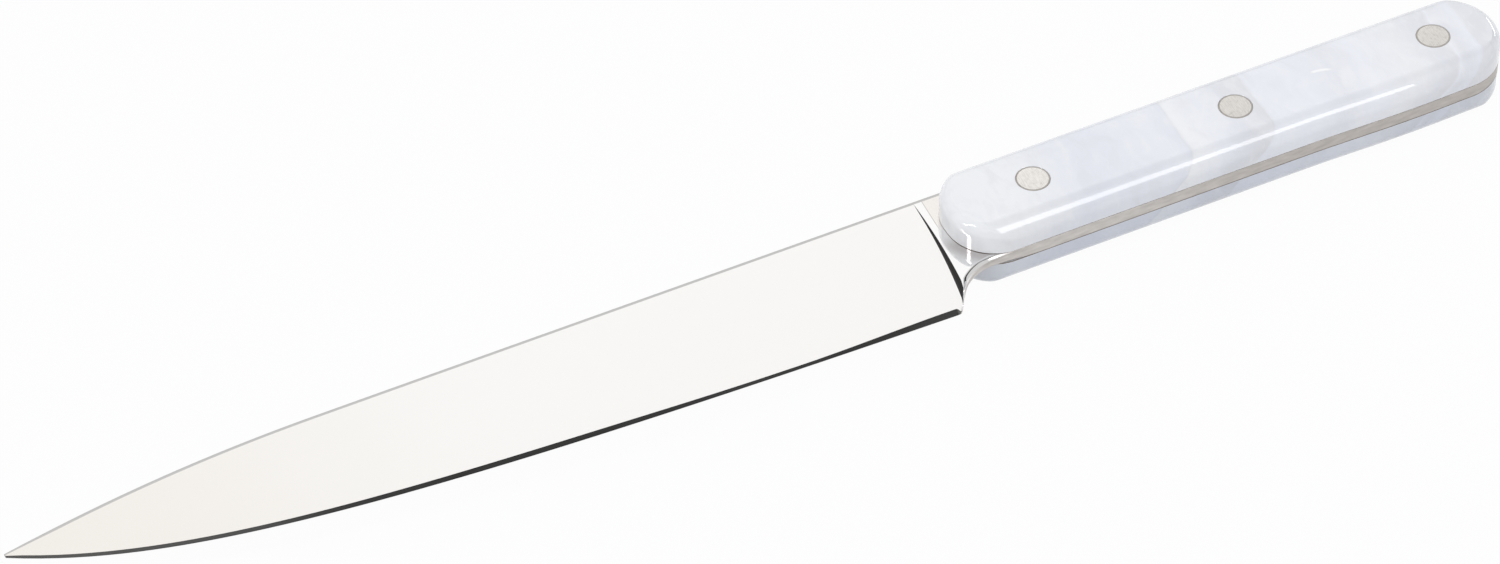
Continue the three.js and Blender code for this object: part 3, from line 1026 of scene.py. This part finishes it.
def pearl_finish(handle):
    """Pearl acrylic: soft bands with a few crisp creases, wisps, one painted glint and a clear skin."""
    material, place = new_finish("pearl_acrylic")
    warp = noise(place, (7, 11, 9), 3)
    x, y, z = parted(place)
    lean = (y - ORIGIN.y) * 0.06 + (z - ORIGIN.z - SCALE_FACE) * 0.9
    along = x - ORIGIN.x - lean + (warp - 0.5) * (3 * MM)
    light, cool, deep, grey = handle.pearl_light, handle.pearl_cool, handle.pearl_deep, handle.pearl_grey
    shades = {"light": light, "cool": cool, "deep": deep, "grey": grey}
    stops = []
    for distance, first, second, part in PEARL_BANDS:
        shade = tuple(a + (b - a) * part for a, b in zip(shades[first], shades[second]))
        stops.append((distance * MM / HANDLE_LENGTH, shade))
    bands = along.add("ShaderNodeValToRGB", {"stops": stops}, {0: along / HANDLE_LENGTH})
    drift = place.add(
        "ShaderNodeVectorMath",
        {"operation": "MULTIPLY_ADD"},
        {0: warp.other("Color"), 1: (9 * MM, 6 * MM, 6 * MM), 2: place},
    )
    clouds = noise(drift, (4, 8, 6), 4, 0.55)
    wisps = noise(drift, (1.4, 8, 4), 3)
    veins = noise(drift, (0.7, 6, 3), 2)
    lit = mixed(rising(clouds, 0.45, 0.7) * 0.45, bands, light)
    clouded = mixed(rising(clouds, 0.5, 0.28) * 0.35, lit, grey)
    veined = mixed(rising(wisps, 0.5, 0.7) * 0.25, clouded, deep)
    streaked = mixed(rising(veins, 0.6, 0.75) * 0.2, veined, light)
    # Painted glint: a pale thin curved streak behind the middle rivet
    past = x - ORIGIN.x - GLINT_X
    aside = y - ORIGIN.y - GLINT_Y + past * past * GLINT_BEND
    glint_reach = rising(past, -0.5 * MM, 0.5 * MM) * rising(past, 4.0 * MM, 2.6 * MM)
    painted_glint = rising(aside * aside, (0.4 * MM) ** 2, (0.12 * MM) ** 2) * glint_reach
    glinted = mixed(painted_glint * 0.9, streaked, GLINT_COLOUR)
    # Painted shade: below the tang the pearl is darkened by the lower scale's tint
    below = rising(z, ORIGIN.z + 0.5 * MM, ORIGIN.z - 0.5 * MM)
    sockets = {
        "Base Color": tinted(below, glinted, handle.lower_shade_tint),
        "Roughness": 0.35 + wisps * 0.15,
        "IOR": 1.49,
        "Specular IOR Level": 0.1,
        "Coat Weight": 1.0,
        "Coat Roughness": 0.006,
        "Coat IOR": 1.7,
    }
    return surfaced(material, place, sockets)


def smeared_finish(name, colour, grain, darkest, lightest, roughness):
    """A dull finish that is smeared from darker to lighter than its colour."""
    material, place = new_finish(name)
    smear = noise(place, grain, 3)
    sockets = {
        "Base Color": mixed(smear, shaded(colour, darkest), shaded(colour, lightest)),
        "Roughness": roughness + smear * 0.2,
    }
    return surfaced(material, place, sockets)


def joint_finish(colour):
    """The thin dark line of adhesive at a joint."""
    return smeared_finish("joint_adhesive", colour, ADHESIVE_SMEARS, 0.6, 1.6, 0.45)


def shaded_rim_finish(colour):
    """The dull broken rim of a rivet's head, with polish left in it, its colour darkened as painted shade
    of the gap round the head.
    """
    return smeared_finish("dull_shaded_rivet_rim", colour, RIM_SMEARS, 0.75, 1.25, 0.5)


def rivet_finish(rivet):
    """Ground metal with scratches that run two ways and a few dull spots; the front rivet is made
    brighter as painted light.
    """
    material, place = new_finish("ground_rivet_metal")
    x, _, _ = parted(place)
    # Painted light: the front rivet is made brighter, as if lit more than the others
    ahead = rising(x, ORIGIN.x + RIVET_X["middle"], ORIGIN.x + RIVET_X["front"])
    grind = noise(place, RIVET_GRIND, 3)
    sockets = {"Vector": place, "Angle": SCRATCH_TURN}
    turned = place.add("ShaderNodeVectorRotate", {"rotation_type": "Z_AXIS"}, sockets)
    scratch = rising(noise(turned, RIVET_SCRATCHES, 2), 0.58, 0.7)
    spots = rising(noise(place, (0.7, 0.7, 0.7), 3), 0.5, 0.75)
    plain = mixed(ahead, rivet.metal_colour, rivet.front_lit_colour)
    lined = tinted(rising(grind, 0.7, 0.3), plain, GRIND_TINT)
    sockets = {
        "Base Color": tinted(scratch * 0.5 + spots * 0.3, lined, SPOT_TINT),
        "Metallic": 1.0,
        "Roughness": 0.24 + grind * 0.16 + spots * 0.1,
        "Normal": bumped(grind + scratch, 0.004 * MM),
    }
    return surfaced(material, place, sockets)


def floor_finish(stage):
    """A pale floor that keeps the knife's shadow, and is seen as nearly plain white."""
    material = bpy.data.materials.new("pale_floor")
    wire = empty_shader(material)
    path = wire.add("ShaderNodeLightPath", {}, {}, "Is Camera Ray")
    seen = path + path.other("Is Glossy Ray") + path.other("Is Transmission Ray")
    lit = wire.add("ShaderNodeBsdfDiffuse", {}, {"Color": stage.floor_colour})
    white = wire.add("ShaderNodeEmission", {}, {"Color": WHITE, "Strength": 1.0})
    factor = seen.add("ShaderNodeClamp", {}, {0: seen}) * stage.floor_whiteness
    both = wire.add("ShaderNodeMixShader", {}, {0: factor, 1: lit, 2: white})
    wire.add("ShaderNodeOutputMaterial", {}, {"Surface": both})
    return material


# Stage, in metres

FLOOR_GAP = 0.05 * MM
SOFTBOX_PLACE = (0.374, -0.451, 0.543)
SOFTBOX_SLANT = (0.6017, -0.5162, 0.6111)
SOFTBOX_SIZE = (0.3, 0.75)
STRIP_LOW = Vector((-0.73, 0.05, 0.33))
STRIP_HIGH = Vector((-0.45, -0.11, 0.57))
STRIP_WIDTH = 0.07
OVERHEAD_HEIGHT = 1.4
OVERHEAD_SIZE = (1.6, 1.2)
RIM_PLACE = Vector((0.69, 0.35, 0.2))
RIM_SIZE = (0.35, 0.08)
CARD_LEVEL = 1.06
CARD_SLANT = (0.408, -0.858, 0.309)
OPENING_LEVEL = 0.05
HIGH_OPENING_DEPTH = 0.7  # how far it is as dim as the low one


def studio_world(room_level):
    """A soft studio: pale walls, a white card behind the knife and two dim openings at the right."""
    world = bpy.data.worlds.new("studio")
    bpy.context.scene.world = world
    wire = empty_shader(world)
    x, y, z = parted(wire.add("ShaderNodeTexCoord", {}, {}, "Generated"))
    across = (x * x + y * y + 0.0001) ** 0.5

    def sine(degrees):
        return math.sin(math.radians(degrees))

    def cosine(degrees):
        return math.cos(math.radians(degrees))

    def card(heading, half_width, bottom, top, soft):
        """A soft-edged card in the room, by angles in degrees."""
        facing = (x * cosine(heading) + y * sine(heading)) / across
        wide = rising(facing, cosine(half_width + soft), cosine(half_width - soft))
        above = rising(z, sine(bottom - soft), sine(bottom + soft))
        below = rising(z, sine(top + soft), sine(top - soft))
        return wide * above * below

    slant = x * CARD_SLANT[0] + y * CARD_SLANT[1] + z * CARD_SLANT[2]
    back = card(heading=76, half_width=32, bottom=14, top=80, soft=1.5) * rising(slant, 0.03, -0.03)
    high_opening = card(heading=20, half_width=45, bottom=58, top=84, soft=4)
    low_opening = card(heading=16, half_width=11, bottom=8, top=58, soft=2)
    walls = (1 - high_opening * HIGH_OPENING_DEPTH) * (1 - low_opening)
    lit = OPENING_LEVEL + walls * room_level + back * (CARD_LEVEL - room_level)
    seen = wire.add("ShaderNodeLightPath", {}, {}, "Is Camera Ray")
    level = lit + seen * (1 - lit)
    shader = wire.add("ShaderNodeBackground", {}, {"Color": WHITE, "Strength": level})
    wire.add("ShaderNodeOutputWorld", {}, {"Surface": shader})


def area_lamp(name, place, target, long_axis, size, level, seen_in_gloss=True):
    """A rectangular lamp of a brightness, turned to a target, with its length along an axis."""
    data = bpy.data.lights.new(name, "AREA")
    data.shape = "RECTANGLE"
    data.size, data.size_y = size
    data.energy = level * math.pi * size[0] * size[1]
    away = Vector(place) - Vector(target)
    along = Vector(long_axis)
    across = along.cross(away).normalized()
    facing = across.cross(along).normalized()
    lamp = bpy.data.objects.new(name, data)
    lamp.location = place
    lamp.rotation_mode = "QUATERNION"
    turn = Matrix((across, along.normalized(), facing)).transposed()
    lamp.rotation_quaternion = turn.to_quaternion()
    lamp.visible_camera = False
    lamp.visible_glossy = seen_in_gloss
    bpy.context.collection.objects.link(lamp)


def lay_floor(stage):
    mesh = bpy.data.meshes.new("floor_mesh")
    half = stage.floor_size / 2
    corners = [(-half, -half, 0), (half, -half, 0), (half, half, 0), (-half, half, 0)]
    mesh.from_pydata(corners, [], [(0, 1, 2, 3)])
    mesh.materials.append(floor_finish(stage))
    floor = bpy.data.objects.new("floor", mesh)
    floor.location.z = CAD_BOX[0].z - FLOOR_GAP
    bpy.context.collection.objects.link(floor)


def hang_lamps(stage):
    grip = ORIGIN + Vector((HANDLE_LENGTH / 2, 0, SCALE_FACE))
    area_lamp("softbox", SOFTBOX_PLACE, grip, SOFTBOX_SLANT, SOFTBOX_SIZE, stage.softbox_level)
    near = ORIGIN + Vector((0, 0, SCALE_FACE / 2))
    low, high = near + STRIP_LOW, near + STRIP_HIGH
    strip = (STRIP_WIDTH, (high - low).length)
    area_lamp("strip", (low + high) / 2, near, high - low, strip, stage.strip_level)
    above = grip + Vector((0, 0, OVERHEAD_HEIGHT))
    area_lamp("overhead", above, grip, (0, 1, 0), OVERHEAD_SIZE, stage.overhead_level, False)
    butt = ORIGIN + Vector((HANDLE_LENGTH, 0, SCALE_FACE))
    area_lamp("rim", butt + RIM_PLACE, butt, (0, 0, 1), RIM_SIZE, stage.rim_level)


def set_camera(stage):
    camera = bpy.data.objects.new("camera", bpy.data.cameras.new("camera"))
    camera.location = stage.camera_place
    azimuth, elevation = stage.camera_azimuth, stage.camera_elevation
    level = math.cos(elevation)
    back = Vector((math.sin(azimuth) * level, -math.cos(azimuth) * level, math.sin(elevation)))
    camera.rotation_mode = "QUATERNION"
    camera.rotation_quaternion = (-back).to_track_quat("-Z", "Y")
    camera.data.lens = stage.camera_lens
    bpy.context.collection.objects.link(camera)
    bpy.context.scene.camera = camera


class KNIFE_OT_blade(bpy.types.Operator):
    """Makes the blade with its collar and tang"""

    bl_idname = "knife.blade"
    bl_label = "Blade"

    def execute(self, context):
        scene = context.scene
        blade, handle, rivet = scene.knife_blade, scene.knife_handle, scene.knife_rivets
        bm = blade_mesh(blade, handle, rivet.shank_width / 2 + handle.hole_clearance)
        finishes = [
            flank_finish(blade.flank_colour, blade.tip_tint),
            # The honed bevel: steel painted far darker, as a painted reflection of the dark it faces
            steel_finish("honed_bevel", blade.bevel_steel_and_reflection_colour, 0.2, HONED_STREAKS, 0.0005 * MM, 0.6),
            # The plunge groove: steel painted near black, as a painted reflection of the dark it faces
            steel_finish("plunge_groove", blade.groove_steel_and_reflection_colour, 0.25, GROOVE_STREAKS, 0.002 * MM),
            collar_finish(blade.collar_colour, blade.collar_tint),
            steel_finish("ground_spine", blade.spine_colour, 0.3, SPINE_STREAKS, 0.003 * MM),
            tang_finish(blade.tang_colour, blade.collar_colour),
        ]
        finish_piece("blade", bm, finishes)
        return {"FINISHED"}


class KNIFE_OT_scales(bpy.types.Operator):
    """Makes the two pearl scales"""

    bl_idname = "knife.scales"
    bl_label = "Scales"

    def execute(self, context):
        handle, rivet = context.scene.knife_handle, context.scene.knife_rivets
        finishes = [pearl_finish(handle), joint_finish(handle.joint_colour)]
        for name in ("upper_scale", "lower_scale"):
            bm = scale_mesh(handle, rivet)
            if name == "lower_scale":
                mirror(bm)
            finish_piece(name, bm, finishes)
        return {"FINISHED"}


class KNIFE_OT_rivets(bpy.types.Operator):
    """Makes the sleeves and studs of the three rivets"""

    bl_idname = "knife.rivets"
    bl_label = "Rivets"

    def execute(self, context):
        handle, rivet = context.scene.knife_handle, context.scene.knife_rivets
        finishes = [rivet_finish(rivet), shaded_rim_finish(rivet.rim_shade_colour)]
        seat = SCALE_FACE - rivet.head_depth
        shank, pin = rivet.shank_width / 2, rivet.stud_width / 2
        bore = pin + handle.hole_clearance
        head_radius = HEAD_RADIUS - rivet.ring_gap
        rim = []
        for turn in quarter(ROUNDING_STEPS):
            radius = head_radius - rivet.rim_width * (1 - math.cos(turn))
            rim.append((radius, SCALE_FACE - rivet.rim_depth * (1 - math.sin(turn))))
        head = [(head_radius, seat), *rim, (0, SCALE_FACE)]
        for place in PLACES:
            stud_end = STUDS[place][0].z - ORIGIN.z
            sleeve_end = SLEEVES[place][1].z - ORIGIN.z
            tube = [(bore, seat), (bore, -sleeve_end), (shank, -sleeve_end), (shank, seat)]
            profiles = {
                "stud": [(0, stud_end), (pin, stud_end), (pin, seat), *head],
                "sleeve": [(0, seat), *tube, *head],
            }
            there = Vector((RIVET_X[place], 0, 0))
            for name, profile in profiles.items():
                bm = turned_mesh(profile)
                dull_rim(bm, head_radius - rivet.rim_width, SCALE_FACE - rivet.rim_depth)
                if name == "sleeve":
                    mirror(bm)
                piece = finish_piece(f"{place}_rivet_{name}", bm, finishes, there)
        return {"FINISHED"}


class KNIFE_OT_stage(bpy.types.Operator):
    """Makes the floor, the room, the lamps and the camera"""

    bl_idname = "knife.stage"
    bl_label = "Stage"

    def execute(self, context):
        stage = context.scene.knife_stage
        context.scene.view_settings.view_transform = "Standard"
        lay_floor(stage)
        studio_world(stage.room_level)
        hang_lamps(stage)
        set_camera(stage)
        return {"FINISHED"}


class KNIFE_PT_sidebar(bpy.types.Panel):
    bl_label = "Fillet Knife"
    bl_idname = "KNIFE_PT_sidebar"
    bl_space_type = "VIEW_3D"
    bl_region_type = "UI"
    bl_category = "Knife"

    def draw(self, context):
        for operator in OPERATORS:
            self.layout.operator(operator.bl_idname)
        for name in SETTINGS:
            settings = getattr(context.scene, name)
            box = self.layout.box()
            for key in settings.bl_rna.properties.keys():
                if key not in ("rna_type", "name"):
                    box.prop(settings, key)


SETTINGS = {
    "knife_blade": BladeSettings,
    "knife_handle": HandleSettings,
    "knife_rivets": RivetSettings,
    "knife_stage": StageSettings,
}
OPERATORS = (KNIFE_OT_blade, KNIFE_OT_scales, KNIFE_OT_rivets, KNIFE_OT_stage)
CLASSES = (*SETTINGS.values(), *OPERATORS, KNIFE_PT_sidebar)


def register():
    for cls in CLASSES:
        bpy.utils.register_class(cls)
    for name, settings in SETTINGS.items():
        setattr(bpy.types.Scene, name, PointerProperty(type=settings))


def unregister():
    for name in SETTINGS:
        delattr(bpy.types.Scene, name)
    for cls in reversed(CLASSES):
        bpy.utils.unregister_class(cls)


def main():
    register()
    bpy.ops.knife.stage()
    bpy.ops.knife.blade()
    bpy.ops.knife.scales()
    bpy.ops.knife.rivets()


if __name__ == "__main__":
    main()
